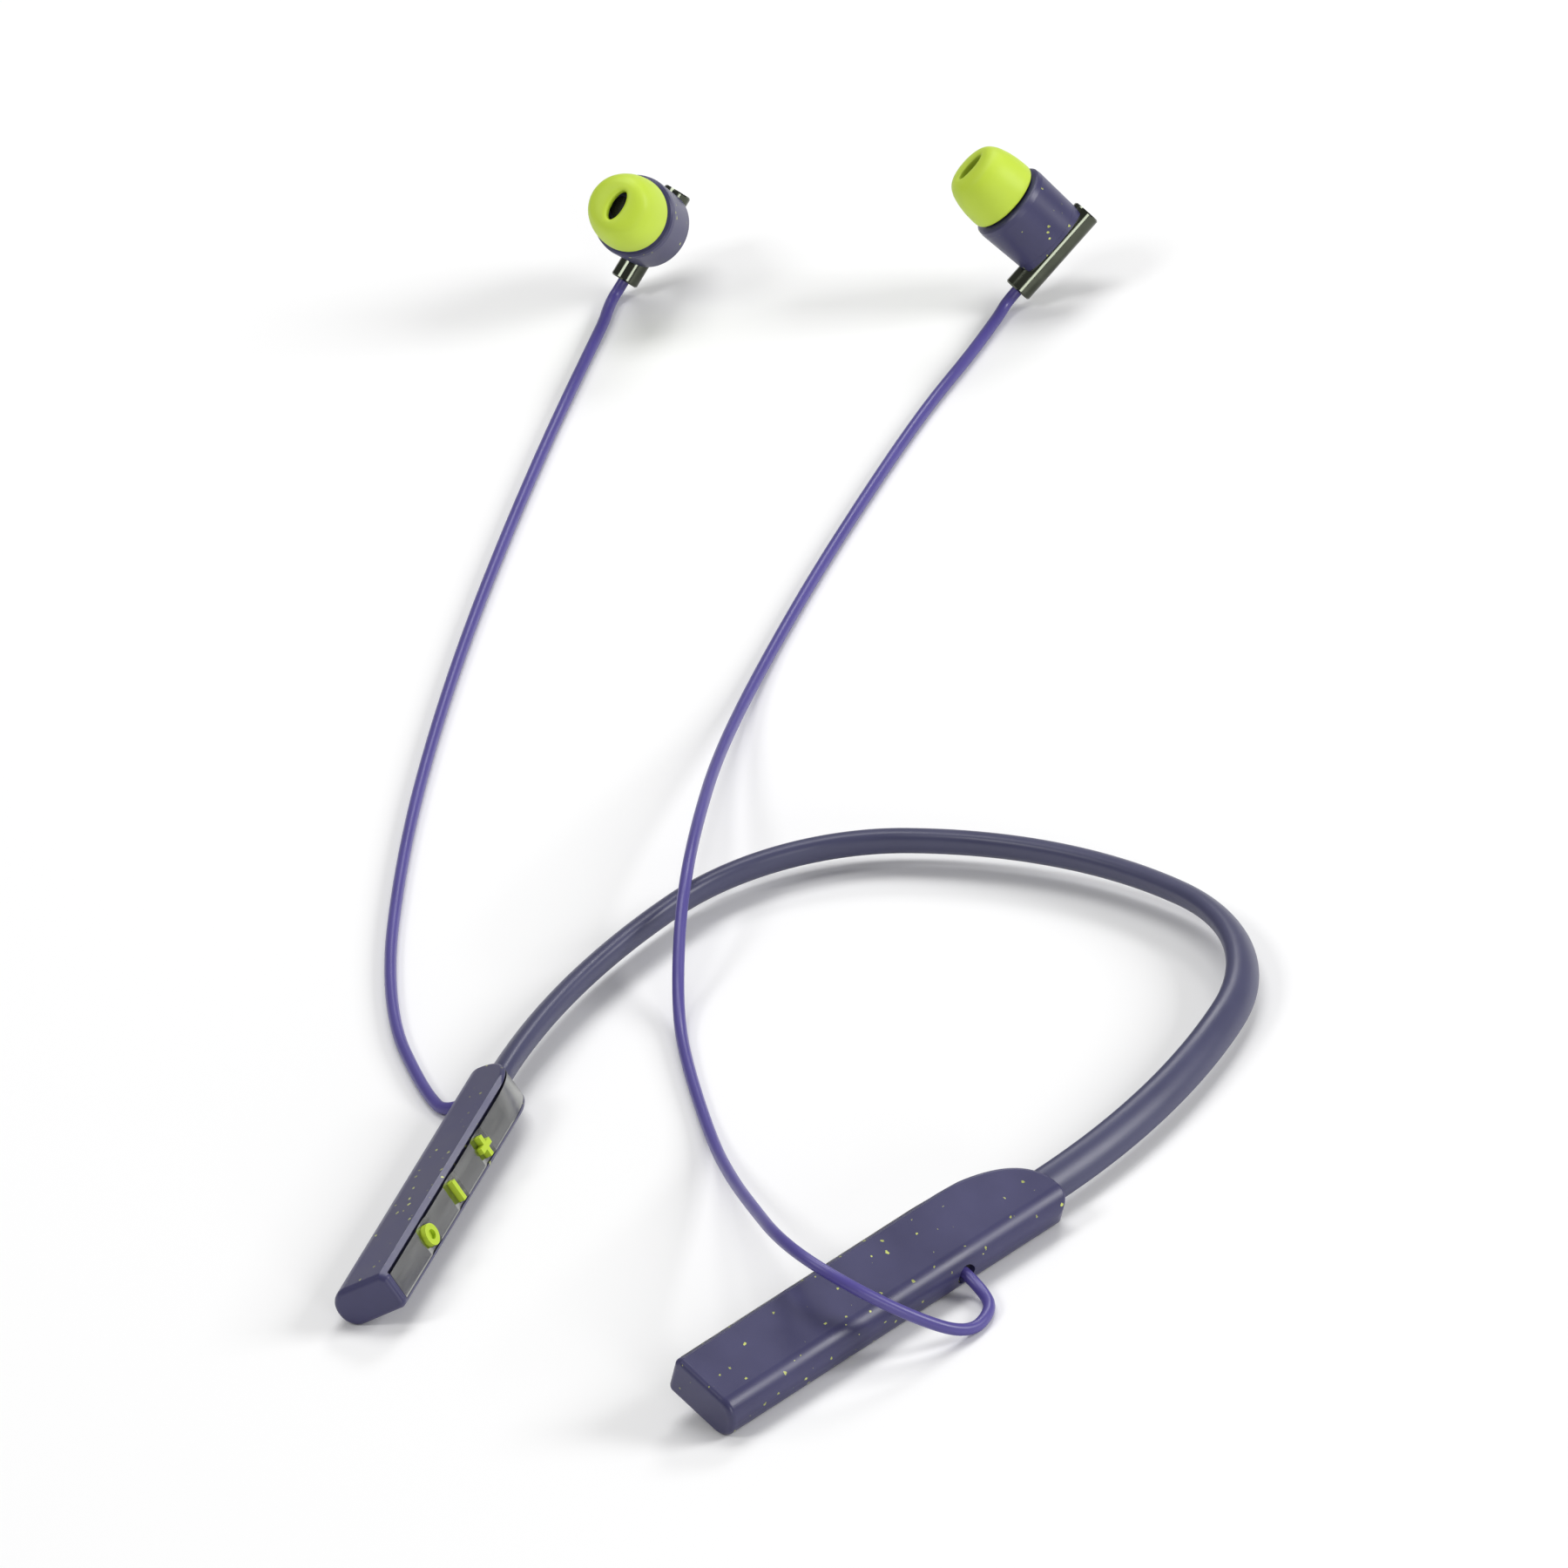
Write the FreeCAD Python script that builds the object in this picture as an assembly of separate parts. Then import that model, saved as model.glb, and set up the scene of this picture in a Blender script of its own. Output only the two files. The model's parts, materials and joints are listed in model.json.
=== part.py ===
import FreeCAD, Part
import math
import os

# Neckband earphones, in millimetres.
# The origin is the centre of the wearer's neck, level with the surface that the neckband lies on.
# +Z is up, +Y points to the nape, and the neckband is symmetric about the plane x = 0.
# A module's own frame has x outward from the neck, y from its free tip to its band end, z through
# its thickness. An earbud's own frame has y along its metal bar and z along its nozzle.

Vec = FreeCAD.Vector
Rot = FreeCAD.Rotation
X_AXIS = Vec(1, 0, 0)
Y_AXIS = Vec(0, 1, 0)
Z_AXIS = Vec(0, 0, 1)

# ---------------------------------------------------------------- driving dimensions
# Band: three tangent arcs on each side of the nape
nape_y = 53.9
nape_radius = 90.0
shoulder_radius = 39.2
side_radius = 128.0
nape_turn = 17.0
shoulder_turn = 62.0
toe_in = 13.8
band_height = 4.6
band_width = 6.3
band_thickness = 3.9
band_roll = 49.0
band_entry = 9.0
core_wire_diameter = 1.2
core_wire_offset = 1.3
link_cable_diameter = 1.5
link_cable_offset = -1.2
channel_clearance = 0.05

# Modules: both have the same casing, and the battery module is the larger one
control_length = 67.0
control_width = 12.0
control_thickness = 6.9
control_band_x = 0.6
control_gland_y = 61.5
control_sweep = 14.0
battery_module_length = 75.0
battery_module_width = 14.0
battery_module_thickness = 7.8
battery_band_x = 0.9
battery_gland_y = 52.0
battery_sweep = 24.0
module_roll = 26.0
outer_top_radius = 3.4
outer_bottom_radius = 3.2
inner_bottom_radius = 1.2
inner_top_bevel = 1.1
band_end_land = 3.2
band_end_corner_radius = 2.4
tip_edge_radius = 1.0
band_end_edge_radius = 0.6
wall = 1.2

# Gunmetal panel on each module's inner side
panel_thickness = 1.2
panel_top_margin = 1.15
panel_bottom_margin = 0.9
panel_tip_margin = 1.6
panel_groove = 0.4
seam = 0.1

# Bottom cover of each module
cover_thickness = 1.0
cover_side_margin = 3.3
cover_tip_margin = 3.0
cover_band_margin = 22.0
cover_corner_radius = 1.5

# Keys
key_pitch = 13.2
first_key_y = 16.4
key_symbol_size = 3.7
key_stroke_width = 1.0
key_proud = 0.7
key_clearance = 0.12
key_flange_length = 6.6
key_flange_height = 3.9
key_flange_thickness = 0.5
key_rest_gap = 0.05
key_travel = 0.35
key_stop_gap = 0.1
dimple_radius = 9.0
dimple_depth = 0.35
switch_length = 4.0
switch_height = 3.0
switch_depth = 1.5
board_thickness = 0.6
key_board_height = 4.2
key_bay_clearance = 0.02

# Electronics
main_board_thickness = 0.8
board_wall_gap = 0.3
main_board_z = -1.3
radio_shield_length = 11.0
radio_shield_width = 5.0
radio_shield_height = 1.5
usb_y = 14.0
usb_z = 0.3
usb_width = 8.94
usb_height = 3.26
usb_depth = 7.3
usb_shell_thickness = 0.3
usb_tongue_thickness = 0.7
usb_tongue_width = 6.7
usb_fit = 0.1
microphone_y = 5.5
led_y = 22.5
led_size = 1.6
light_pipe_diameter = 1.6
battery_length = 38.0
battery_width = 8.4
battery_height = 4.0
battery_edge_radius = 1.6
battery_tip_gap = 4.5
battery_floor_gap = 0.2
protection_board_length = 6.0

# Cords, their glands in the modules and their bushes in the earbuds
cord_diameter = 2.0
gland_z = 0.6
gland_diameter = 3.6
gland_flange_diameter = 4.8
gland_flange_thickness = 0.8
gland_recess = 1.0

# Earbuds
bar_length = 18.0
bar_diameter = 5.0
bar_wall = 0.5
bar_below_housing = 3.4
housing_back_z = 1.0
housing_back_diameter = 13.8
housing_front_z = 12.0
housing_front_diameter = 14.5
housing_crown_radius = 1.2
housing_wall = 1.1
rear_cover_thickness = 2.4
rear_slope = 14.0
nozzle_diameter = 4.8
nozzle_length = 6.6
nozzle_bore = 3.4
nozzle_lip_diameter = 5.4
nozzle_lip_length = 1.0
driver_diameter = 10.0
driver_thickness = 3.2
driver_front_gap = 1.0
mesh_thickness = 0.25
magnet_length = 5.0
magnet_fit = 0.05
bush_length = 3.0
wire_hole_diameter = 1.4
tip_rim_diameter = 13.2
tip_front_diameter = 10.4
tip_length = 8.6
tip_wall = 0.8
tip_front_radius = 1.6
tip_rim_gap = 0.4
tip_sleeve_diameter = 7.0
tip_bore_clearance = 0.05
tip_mouth_diameter = 6.2
tip_mouth_depth = 1.5

# Where each earbud lies: the cord end of its bar, then the bar's and the nozzle's directions
left_bud_cord_end = Vec(-176.30, 195.58, 3.00)
left_bud_azimuth = 66.5
left_bud_elevation = 40.8
left_bud_lean = 28.8
right_bud_cord_end = Vec(-107.08, 213.40, 3.20)
right_bud_azimuth = 58.5
right_bud_elevation = 32.9
right_bud_lean = -13.8

# Routes of the cords between the first point outside the gland and the last one before the earbud
gland_run = 4.4
left_bud_cord_run = 1.9
right_bud_cord_run = 2.6
left_cord_middle = [
    (-63.4, -39.2, 1.02),
    (-70.3, -33.3, 1.02),
    (-80.8, -23.2, 1.02),
    (-93.2, -6.2, 1.02),
    (-104.9, 14.3, 1.02),
    (-117.1, 38.0, 1.02),
    (-129.7, 65.6, 1.02),
    (-141.1, 93.0, 1.02),
    (-151.6, 120.4, 1.02),
    (-160.5, 144.9, 1.02),
    (-166.5, 162.3, 1.02),
    (-170.6, 174.6, 1.02),
    (-172.9, 181.6, 1.02),
    (-174.5, 186.2, 1.02),
    (-175.9, 189.4, 1.02),
    (-177.0, 192.5, 1.02),
]
right_cord_middle = [
    (60.0, -63.8, 1.02),
    (60.2, -71.4, 1.02),
    (54.2, -78.6, 8.0),
    (44.3, -83.3, 16.2),
    (31.9, -78.4, 17.2),
    (14.7, -61.8, 10.2),
    (2.0, -49.2, 5.0),
    (-11.0, -35.7, 1.1),
    (-28.0, -16.8, 1.02),
    (-37.5, -4.5, 1.6),
    (-43.8, 7.6, 8.2),
    (-48.8, 18.6, 12.0),
    (-57.0, 35.0, 11.4),
    (-70.2, 59.9, 6.0),
    (-82.0, 87.6, 1.3),
    (-91.0, 120.0, 1.02),
    (-98.2, 151.6, 1.02),
    (-103.3, 177.0, 1.02),
    (-105.5, 194.4, 1.02),
    (-107.3, 204.9, 1.02),
    (-108.1, 209.0, 1.02),
]


# ---------------------------------------------------------------- plain shapes
def block(x_low, x_high, y_low, y_high, z_low, z_high):
    corner = Vec(x_low, y_low, z_low)
    return Part.makeBox(x_high - x_low, y_high - y_low, z_high - z_low, corner)


def rod(diameter, length, base, direction):
    return Part.makeCylinder(diameter / 2, length, base, direction)


def turned(points):
    """Solid of revolution about z from (radius, z) points."""
    corners = [Vec(radius, 0, z) for radius, z in points]
    face = Part.Face(Part.makePolygon(corners + [corners[0]]))
    return face.revolve(Vec(0, 0, 0), Z_AXIS, 360)


def arc_edge(start, middle, end):
    return Part.Arc(start, middle, end).toShape()


def line_edge(start, end):
    return Part.LineSegment(start, end).toShape()


# ---------------------------------------------------------------- places and directions
def polar(centre, radius, angle):
    turn = math.radians(angle)
    return centre + Vec(radius * math.cos(turn), radius * math.sin(turn), 0)


def band_arcs(height):
    """Right half of the band's centreline: (centre, radius, first angle, last angle)."""
    nape_centre = Vec(0, nape_y - nape_radius, height)
    nape_end = 90.0 - nape_turn
    shoulder_centre = polar(nape_centre, nape_radius - shoulder_radius, nape_end)
    shoulder_end = nape_end - shoulder_turn
    side_centre = polar(shoulder_centre, shoulder_radius - side_radius, shoulder_end)
    return [
        (nape_centre, nape_radius, 90.0, nape_end),
        (shoulder_centre, shoulder_radius, nape_end, shoulder_end),
        (side_centre, side_radius, shoulder_end, -toe_in),
    ]


module_turn = Rot(Z_AXIS, -toe_in).multiply(Rot(Y_AXIS, module_roll))
toward_band = module_turn.multVec(Y_AXIS)
side_arc = band_arcs(band_height)[2]
band_end = polar(side_arc[0], side_arc[1], side_arc[3])


class Module:
    """One end of the neckband: its sizes, and where the band enters it."""

    def __init__(self, side, length, width, thickness, band_x, gland_y, sweep):
        self.side = side
        self.length = length
        self.width = width
        self.thickness = thickness
        self.band_x = band_x
        self.gland_y = gland_y
        self.sweep = sweep
        self.outer_x = width / 2
        self.top_z = thickness / 2
        self.panel_x = -width / 2
        self.panel_back_x = panel_thickness - width / 2
        self.band_z = self.band_entry_z()
        inside = Vec(band_x, length, self.band_z)
        self.origin = band_end - module_turn.multVec(inside)

    def axis_height(self):
        """Height of the rolled module's axis when its outer bottom edge touches z = 0."""
        roll = math.radians(module_roll)
        edge_x = self.outer_x - outer_bottom_radius
        edge_z = outer_bottom_radius - self.top_z
        return edge_x * math.sin(roll) - edge_z * math.cos(roll) + outer_bottom_radius

    def band_entry_z(self):
        """Where the band's height falls in the rolled section."""
        roll = math.radians(module_roll)
        rise = band_height - self.axis_height() + self.band_x * math.sin(roll)
        return rise / math.cos(roll)


def mirrored(shape):
    return shape.mirror(Vec(0, 0, 0), X_AXIS)


def place_in_module(shape, module):
    placed = shape.copy()
    placed.Placement = FreeCAD.Placement(module.origin, module_turn).multiply(shape.Placement)
    if module.side == "left":
        return mirrored(placed)
    return placed


def bud_rotation(azimuth, elevation, lean):
    """Turns the earbud's y axis to the bar's direction and leans its nozzle about the bar."""
    heading = Rot(Z_AXIS, azimuth - 90.0)
    lift = Rot(X_AXIS, elevation)
    return heading.multiply(lift).multiply(Rot(Y_AXIS, lean))


def bar_direction(azimuth, elevation):
    return bud_rotation(azimuth, elevation, 0).multVec(Y_AXIS)


def place_bud(shape, cord_end, azimuth, elevation, lean):
    rotation = bud_rotation(azimuth, elevation, lean)
    housing_y = bar_below_housing + housing_back_diameter / 2
    origin = cord_end + rotation.multVec(Vec(0, housing_y, 0))
    placed = shape.copy()
    placed.Placement = FreeCAD.Placement(origin, rotation).multiply(shape.Placement)
    return placed


# ---------------------------------------------------------------- band
def band_path():
    """The band's centreline from inside the right module to inside the left one."""
    right = []
    for centre, radius, first, last in band_arcs(band_height):
        points = [polar(centre, radius, angle) for angle in (last, (first + last) / 2, first)]
        right.insert(0, points)
    inner = band_end - toward_band * band_entry
    edges = [line_edge(inner, band_end)]
    for start, middle, end in right:
        edges.append(arc_edge(start, middle, end))
    for end, middle, start in reversed(right):
        flipped = [Vec(-point.x, point.y, point.z) for point in (start, middle, end)]
        edges.append(arc_edge(*flipped))
    left_end = Vec(-band_end.x, band_end.y, band_end.z)
    left_inner = Vec(-inner.x, inner.y, inner.z)
    edges.append(line_edge(left_end, left_inner))
    return Part.Wire(edges)


def sweep_along_band(profile):
    shell = Part.BRepOffsetAPI.MakePipeShell(band_path())
    shell.setBiNormalMode(Z_AXIS)
    shell.add(profile)
    shell.build()
    shell.makeSolid()
    return shell.shape()


def band_profile(curve):
    """Stands a flat curve up across the band's start and rolls it with the band."""
    wire = Part.Wire([curve.toShape()])
    upright = Rot(X_AXIS, 90)
    turn = Rot(Z_AXIS, -toe_in).multiply(Rot(Y_AXIS, band_roll)).multiply(upright)
    wire.Placement = FreeCAD.Placement(band_end - toward_band * band_entry, turn)
    return wire


def band_channel(diameter, offset):
    return sweep_along_band(band_profile(Part.Circle(Vec(offset, 0, 0), Z_AXIS, diameter / 2)))


def band_sleeve():
    ellipse = Part.Ellipse(Vec(0, 0, 0), band_width / 2, band_thickness / 2)
    sleeve = sweep_along_band(band_profile(ellipse))
    core = band_channel(core_wire_diameter + 2 * channel_clearance, core_wire_offset)
    cable = band_channel(link_cable_diameter + 2 * channel_clearance, link_cable_offset)
    return sleeve.cut(core).cut(cable)


# ---------------------------------------------------------------- module casing
def section_outline(module, inset):
    """Module section in the x-z plane, shrunk by inset on every side."""
    right = module.outer_x - inset
    top = module.top_z - inset
    bevel = max(inner_top_bevel - inset, 0.3)
    outer_top = max(outer_top_radius - inset, 0.3)
    outer_bottom = max(outer_bottom_radius - inset, 0.3)
    inner_bottom = max(inner_bottom_radius - inset, 0.3)
    diagonal = math.sqrt(0.5)

    def corner(x_centre, z_centre, radius, x_sign, z_sign):
        middle = Vec(x_centre + x_sign * radius * diagonal, 0, z_centre + z_sign * radius * diagonal)
        side = Vec(x_centre + x_sign * radius, 0, z_centre)
        flat = Vec(x_centre, 0, z_centre + z_sign * radius)
        return side, middle, flat

    side_1, middle_1, flat_1 = corner(right - outer_top, top - outer_top, outer_top, 1, 1)
    side_2, middle_2, flat_2 = corner(right - outer_bottom, outer_bottom - top, outer_bottom, 1, -1)
    side_3, middle_3, flat_3 = corner(inner_bottom - right, inner_bottom - top, inner_bottom, -1, -1)
    bevel_low = Vec(-right, 0, top - bevel)
    bevel_high = Vec(bevel - right, 0, top)
    edges = [
        line_edge(bevel_high, flat_1),
        arc_edge(flat_1, middle_1, side_1),
        line_edge(side_1, side_2),
        arc_edge(side_2, middle_2, flat_2),
        line_edge(flat_2, flat_3),
        arc_edge(flat_3, middle_3, side_3),
        line_edge(side_3, bevel_low),
        line_edge(bevel_low, bevel_high),
    ]
    return Part.Wire(edges)


def plan_prism(module, inset, tip_inset):
    """Module's plan, with the swept inner corner at the band end, as a tall prism."""
    right = module.outer_x - inset
    end_y = module.length - inset
    half_height = module.thickness
    sweep_start = Vec(-right, module.length - module.sweep, -half_height)
    land_inner = Vec(right - band_end_land, end_y, -half_height)
    corner = min(band_end_corner_radius, band_end_land - 0.1)
    land_outer = Vec(right - corner, end_y, -half_height)
    corner_centre = Vec(right - corner, end_y - corner, -half_height)
    corner_end = Vec(right, end_y - corner, -half_height)
    tip_outer = Vec(right, tip_inset, -half_height)
    tip_inner = Vec(-right, tip_inset, -half_height)
    sweep_pole = Vec(-right, end_y - 0.25 * module.sweep, -half_height)
    sweep = Part.BezierCurve()
    sweep.setPoles([sweep_start, sweep_pole, Vec(-0.35 * right, end_y, -half_height), land_inner])
    edges = [
        sweep.toShape(),
        line_edge(land_inner, land_outer),
        arc_edge(land_outer, polar(corner_centre, corner, 45), corner_end),
        line_edge(corner_end, tip_outer),
        line_edge(tip_outer, tip_inner),
        line_edge(tip_inner, sweep_start),
    ]
    return Part.Face(Part.Wire(edges)).extrude(Vec(0, 0, 2 * half_height))


def casing_block(module, inset):
    """The casing's outer form, or the form inside its wall."""
    length = module.length - inset
    prism = Part.Face(section_outline(module, inset)).extrude(Vec(0, length, 0))
    return prism.common(plan_prism(module, inset, inset))


def casing_outside(module):
    """Outer form with its edges rounded at the tip and round the swept band end."""
    body = casing_block(module, 0).removeSplitter()
    tip_edges = [edge for edge in body.Edges if edge.BoundBox.YMax < 0.01]
    body = body.makeFillet(tip_edge_radius, tip_edges)
    swept_y = module.length - module.sweep - 0.01
    end_edges = []
    for edge in body.Edges:
        box = edge.BoundBox
        if box.YMin > swept_y and box.ZLength < module.thickness / 2:
            end_edges.append(edge)
    return body.makeFillet(band_end_edge_radius, end_edges)


def panel_zone(module, gap):
    """Space of the gunmetal panel; gap widens it into the casing's pocket."""
    low = panel_bottom_margin - module.top_z - gap
    high = module.top_z - panel_top_margin + (panel_groove if gap else 0)
    ring = plan_prism(module, -0.5, -1).cut(plan_prism(module, panel_thickness + gap, -1))
    end_x = module.outer_x - band_end_land + gap
    window = block(-module.width, end_x, panel_tip_margin - gap, module.length + 1, low, high)
    return ring.common(window)


def band_hole(module, clearance):
    """Straight passage for the band sleeve at the module's band end."""
    ellipse = Part.Ellipse(Vec(0, 0, 0), band_width / 2 + clearance, band_thickness / 2 + clearance)
    face = Part.Face(Part.Wire([ellipse.toShape()]))
    face.rotate(Vec(0, 0, 0), X_AXIS, 90)
    face.rotate(Vec(0, 0, 0), Y_AXIS, band_roll - module_roll)
    face.translate(Vec(module.band_x, module.length - band_entry - 0.5, module.band_z))
    return face.extrude(Vec(0, band_entry + 2, 0))


def cover_zone(module, gap):
    """Space of the bottom cover, a rounded plate let into the underside."""
    low = -module.top_z
    x_low = cover_side_margin - gap - module.outer_x
    x_high = module.outer_x - cover_side_margin + gap
    y_low = cover_tip_margin - gap
    y_high = module.length - cover_band_margin + gap
    plate = block(x_low, x_high, y_low, y_high, low - 1, low + cover_thickness + gap)
    uprights = [edge for edge in plate.Edges if abs(edge.BoundBox.ZLength - plate.BoundBox.ZLength) < 0.01]
    return plate.makeFillet(cover_corner_radius, uprights)


def cavity(module):
    """Room inside the casing, above the bottom cover and behind the panel."""
    room = casing_block(module, wall)
    floor_z = cover_thickness + seam - module.top_z
    behind_panel = plan_prism(module, panel_thickness + seam, wall)
    upper = block(-module.width, module.width, 0, module.length, floor_z, module.thickness)
    return room.common(upper).common(behind_panel)


def gland_hole(module):
    """Stepped hole for the cord gland, from the outer side into the cavity."""
    outside = Vec(module.outer_x + 1, module.gland_y, gland_z)
    return rod(gland_diameter, module.outer_x, outside, -X_AXIS)


def top_shell(module, openings):
    shell = casing_outside(module).cut(cavity(module))
    shell = shell.cut(panel_zone(module, seam)).cut(cover_zone(module, seam))
    shell = shell.cut(band_hole(module, seam)).cut(gland_hole(module))
    for opening in openings:
        shell = shell.cut(opening)
    return main_solid(shell)


def main_solid(shape):
    """The largest solid, without the slivers that a cut can leave."""
    return max(shape.Solids, key=lambda solid: solid.Volume)


def bottom_cover(module):
    return main_solid(casing_block(module, 0).common(cover_zone(module, 0)))


def trim_panel(module):
    panel = casing_block(module, 0).common(panel_zone(module, 0))
    return main_solid(panel.cut(band_hole(module, seam)))


def gland_face(module):
    """Centre of the gland's outer face, in the module's own frame."""
    return Vec(module.outer_x - gland_recess, module.gland_y, gland_z)


def gland_mouth(module):
    mouth = module.origin + module_turn.multVec(gland_face(module))
    return Vec(-mouth.x, mouth.y, mouth.z) if module.side == "left" else mouth


def gland_outward(module):
    outward = module_turn.multVec(X_AXIS)
    return Vec(-outward.x, outward.y, outward.z) if module.side == "left" else outward


def gland_flange_depth():
    """How far below the outer side the gland's flange sits, just inside the cavity."""
    return max(wall, panel_thickness) + seam


def cord_gland(module):
    start = gland_face(module)
    depth = gland_flange_depth() + gland_flange_thickness - gland_recess
    barrel = rod(gland_diameter - 2 * seam, depth, start, -X_AXIS)
    inner_wall = Vec(module.outer_x - gland_flange_depth(), module.gland_y, gland_z)
    flange = rod(gland_flange_diameter, gland_flange_thickness, inner_wall, -X_AXIS)
    return barrel.fuse(flange.common(casing_block(module, gland_flange_depth())))


def band_anchor(module):
    """Collar that grips the sleeve's end inside the module."""
    collar_length = band_entry - 4.5
    grip = casing_block(module, wall + seam).common(cavity(module))
    y_low = module.length - band_entry + 0.5
    x_high = module.outer_x - gland_flange_depth() - gland_flange_thickness - seam
    slab = block(module.band_x - band_width, x_high, y_low, y_low + collar_length,
                 -module.thickness, module.thickness)
    return main_solid(grip.common(slab).cut(band_hole(module, seam)))


# ---------------------------------------------------------------- keys
def key_places():
    """(name, symbol, y) for each key, from the band end to the tip."""
    return [
        ("volume_up_key", "plus", first_key_y + 2 * key_pitch),
        ("volume_down_key", "minus", first_key_y + key_pitch),
        ("multifunction_key", "ring", first_key_y),
    ]


def panel_middle_z():
    return (panel_bottom_margin - panel_top_margin) / 2


def key_symbol(module, symbol, y, x_low, x_high, clearance):
    """The key's sign as a prism along x: a cross, an upright bar or a disc."""
    half = key_symbol_size / 2 + clearance
    stroke = key_stroke_width / 2 + clearance
    middle = panel_middle_z()
    if symbol == "ring":
        return rod(2 * half, x_high - x_low, Vec(x_low, y, middle), X_AXIS)
    upright = block(x_low, x_high, y - stroke, y + stroke, middle - half, middle + half)
    if symbol == "minus":
        return upright
    level = block(x_low, x_high, y - half, y + half, middle - stroke, middle + stroke)
    return upright.fuse(level).removeSplitter()


def key(module, symbol, y):
    cap = key_symbol(module, symbol, y, module.panel_x - key_proud, module.panel_back_x + key_rest_gap + 0.1, 0)
    if symbol == "ring":
        hollow_x = module.panel_x - key_proud
        bore = key_symbol_size - 2 * key_stroke_width
        middle = Vec(hollow_x, y, panel_middle_z())
        cap = cap.cut(rod(bore, key_proud, middle, X_AXIS))
    back = module.panel_back_x + key_rest_gap
    half_length = key_flange_length / 2
    half_height = key_flange_height / 2
    middle = panel_middle_z()
    flange = block(back, back + key_flange_thickness, y - half_length, y + half_length,
                   middle - half_height, middle + half_height)
    return cap.fuse(flange).removeSplitter()


def dimple(module, y):
    """Shallow scoop in the panel around a key."""
    centre_x = module.panel_x - dimple_radius + dimple_depth
    return rod(2 * dimple_radius, module.thickness * 2, Vec(centre_x, y, -module.thickness), Z_AXIS)


def control_panel(module):
    panel = trim_panel(module)
    for name, symbol, y in key_places():
        panel = panel.cut(dimple(module, y))
        opening = key_symbol(module, symbol, y, module.panel_x - 1, module.panel_back_x + 1, key_clearance)
        panel = panel.cut(opening)
    return main_solid(panel)


def switch_front_x(module):
    flange_back = module.panel_back_x + key_rest_gap + key_flange_thickness
    return flange_back + key_travel + key_stop_gap


def tact_switches(module):
    middle = panel_middle_z()
    switches = []
    for name, symbol, y in key_places():
        front = switch_front_x(module)
        switches.append(block(front, front + switch_depth, y - switch_length / 2, y + switch_length / 2,
                              middle - switch_height / 2, middle + switch_height / 2))
    return Part.makeCompound(switches)


def key_board_x(module):
    return switch_front_x(module) + switch_depth


def key_board_span():
    """First and last y of the board behind the keys."""
    return first_key_y - key_flange_length, first_key_y + 2 * key_pitch + key_flange_length


def key_board(module):
    middle = panel_middle_z()
    y_low, y_high = key_board_span()
    return block(key_board_x(module), key_board_x(module) + board_thickness, y_low, y_high,
                 middle - key_board_height / 2, middle + key_board_height / 2)


def key_bay(module):
    """Room behind the panel for the key flanges, the switches and their board."""
    middle = panel_middle_z()
    y_low, y_high = key_board_span()
    y_low -= key_bay_clearance
    y_high += key_bay_clearance
    flange_half = key_flange_height / 2 + key_bay_clearance
    board_half = key_board_height / 2 + key_bay_clearance
    board_x = key_board_x(module)
    back_x = board_x + board_thickness + key_bay_clearance
    front = block(module.panel_back_x, board_x, y_low, y_high, middle - flange_half, middle + flange_half)
    rear = block(board_x - key_bay_clearance, back_x, y_low, y_high, middle - board_half, middle + board_half)
    return front.fuse(rear)


# ---------------------------------------------------------------- electronics
def main_board_top():
    return main_board_z + main_board_thickness


def main_board(module):
    x_low = key_board_x(module) + board_thickness
    x_high = module.outer_x - wall - board_wall_gap
    board = block(x_low, x_high, wall + 1, first_key_y + 2 * key_pitch - 6, main_board_z, main_board_top())
    board = board.common(casing_block(module, wall + seam))
    return board.cut(usb_envelope(module, usb_fit))


def usb_envelope(module, clearance):
    """Outside of the charging socket's metal shell: a flat tube with round sides."""
    radius = usb_height / 2 + clearance
    half = usb_width / 2 - usb_height / 2
    back = module.outer_x - usb_depth - clearance
    length = usb_depth + 2 * clearance
    left = rod(2 * radius, length, Vec(back, usb_y - half, usb_z), X_AXIS)
    right = rod(2 * radius, length, Vec(back, usb_y + half, usb_z), X_AXIS)
    middle = block(back, back + length, usb_y - half, usb_y + half, usb_z - radius, usb_z + radius)
    return left.fuse(right).fuse(middle).removeSplitter()


def usb_opening(module):
    """Mouth of the charging socket through the casing's outer side."""
    beyond = usb_envelope(module, usb_fit)
    shifted = beyond.copy()
    shifted.translate(Vec(usb_depth - wall, 0, 0))
    return shifted.fuse(beyond)


def usb_socket(module):
    shell = usb_envelope(module, 0)
    inner = usb_envelope(module, -usb_shell_thickness)
    inner.translate(Vec(usb_shell_thickness * 2, 0, 0))
    back = module.outer_x - usb_depth
    tongue = block(back, module.outer_x - 1.2, usb_y - usb_tongue_width / 2, usb_y + usb_tongue_width / 2,
                   usb_z - usb_tongue_thickness / 2, usb_z + usb_tongue_thickness / 2)
    return shell.cut(inner).fuse(tongue).common(casing_block(module, 0)).removeSplitter()


def radio_shield(module):
    x_high = module.outer_x - wall - 1.0
    y_low = usb_y + usb_width / 2 + 6
    return block(x_high - radio_shield_width, x_high, y_low, y_low + radio_shield_length,
                 main_board_top(), main_board_top() + radio_shield_height)


def microphone(module):
    x_high = module.outer_x - wall - 0.8
    return block(x_high - 3.0, x_high, microphone_y - 1.5, microphone_y + 1.5,
                 main_board_top(), main_board_top() + 1.1)


def microphone_port(module):
    port_z = main_board_top() + 0.6
    return rod(0.9, wall + 1.5, Vec(module.outer_x - wall - 0.5, microphone_y, port_z), X_AXIS)


def light_pipe_z():
    return main_board_top() + led_size / 2


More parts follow.
